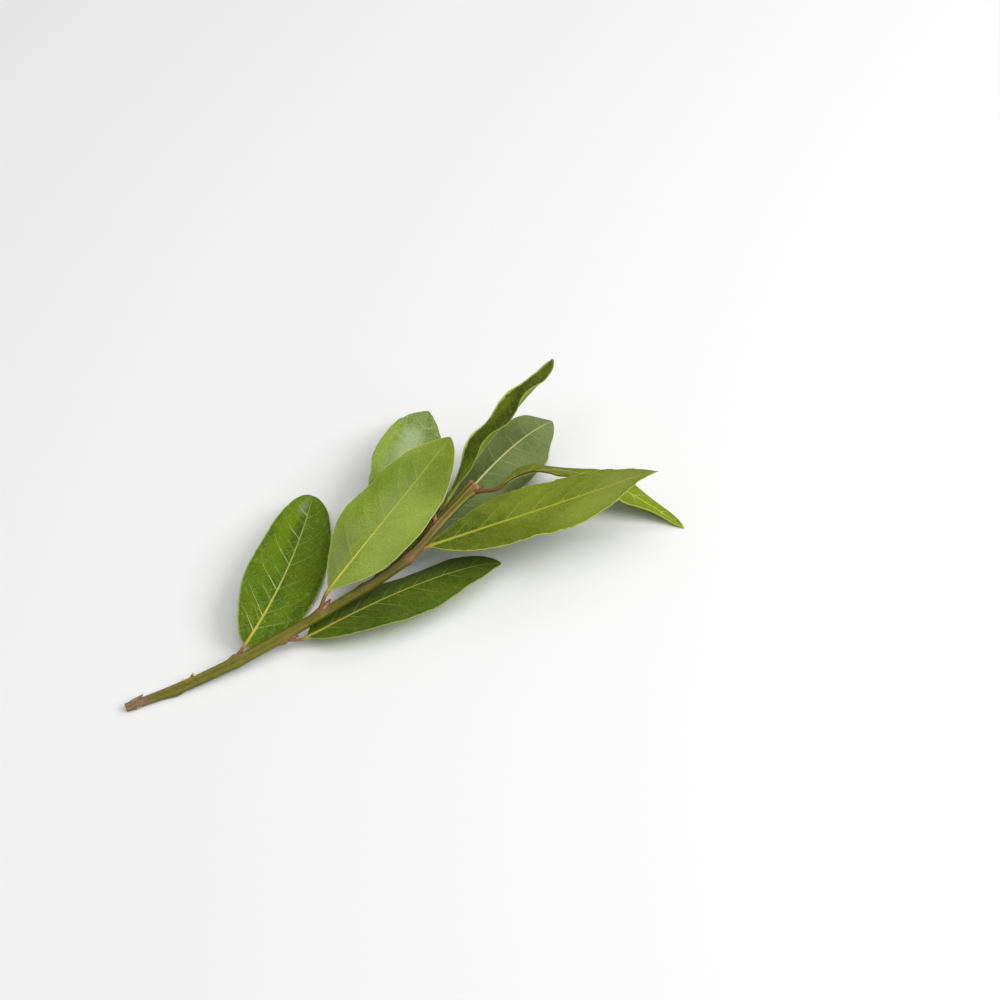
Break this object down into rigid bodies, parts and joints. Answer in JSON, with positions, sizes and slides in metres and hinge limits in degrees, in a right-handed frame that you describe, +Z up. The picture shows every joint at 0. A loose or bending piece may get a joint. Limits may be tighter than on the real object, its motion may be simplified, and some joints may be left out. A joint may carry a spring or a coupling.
{
  "type": "bay leaf branch",
  "caption": "Cut branch of bay laurel lying on a surface, with a woody stem, buds and leathery oval leaves on short stalks.",
  "frame": {"origin": "on the surface the branch lies on, under the middle of its bounding box", "axes": "+X along the stem from its cut end to its tip, +Z up"},
  "size_m": [0.2241, 0.1098, 0.0453],
  "materials": {
    "bark": "smooth olive green bark, brown and dull at the cut foot and at the nodes",
    "leaf_upper": "glossy waxy leaf face with pale veins",
    "leaf_underside": "matte pale leaf underside with a raised yellow midrib",
    "leaf_young": "satin yellow green leaf with a pale edge"
  },
  "bodies": {
    "root": {"stem": "bark", "leaf_1": "leaf_upper", "leaf_2": "leaf_underside", "leaf_3": "leaf_upper", "leaf_4": "leaf_underside", "leaf_5": "leaf_young", "leaf_6": "leaf_underside", "leaf_7": "leaf_young", "leaf_8": "leaf_upper"}
  },
  "joints": []
}
